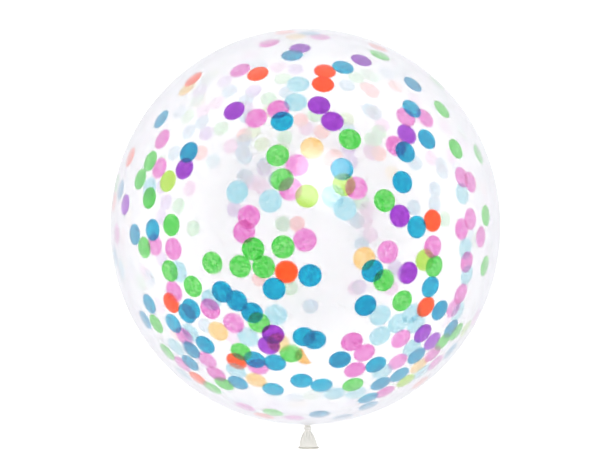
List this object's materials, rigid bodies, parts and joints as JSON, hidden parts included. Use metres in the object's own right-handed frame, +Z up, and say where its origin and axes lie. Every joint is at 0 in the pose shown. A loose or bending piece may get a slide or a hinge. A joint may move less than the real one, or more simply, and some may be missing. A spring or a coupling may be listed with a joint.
{
  "type": "confetti balloon",
  "caption": "Clear round latex balloon of giant size, filled with tissue-paper confetti discs, knotted at the neck, with a flared tail and rolled lip, lying on its side.",
  "frame": {"origin": "centre of the small flat spot that the balloon lies on, below the middle of its round body", "axes": "+Z up; +Y along the balloon's axis, towards its crown, so the knot and tail point to -Y; +X across, the wide way of the flattened tail"},
  "size_m": [0.91, 0.9908, 0.9067],
  "materials": {
    "clear_latex": "clear, glossy, very thin",
    "gathered_latex": "milky, satin",
    "tissue_blue": "matte tissue paper",
    "tissue_cyan": "matte tissue paper",
    "tissue_green": "matte tissue paper",
    "tissue_lime": "matte tissue paper",
    "tissue_pink": "matte tissue paper",
    "tissue_purple": "matte tissue paper",
    "tissue_orange": "matte tissue paper",
    "tissue_yellow": "matte tissue paper"
  },
  "bodies": {
    "root": {"balloon": "clear_latex"}
  },
  "joints": []
}
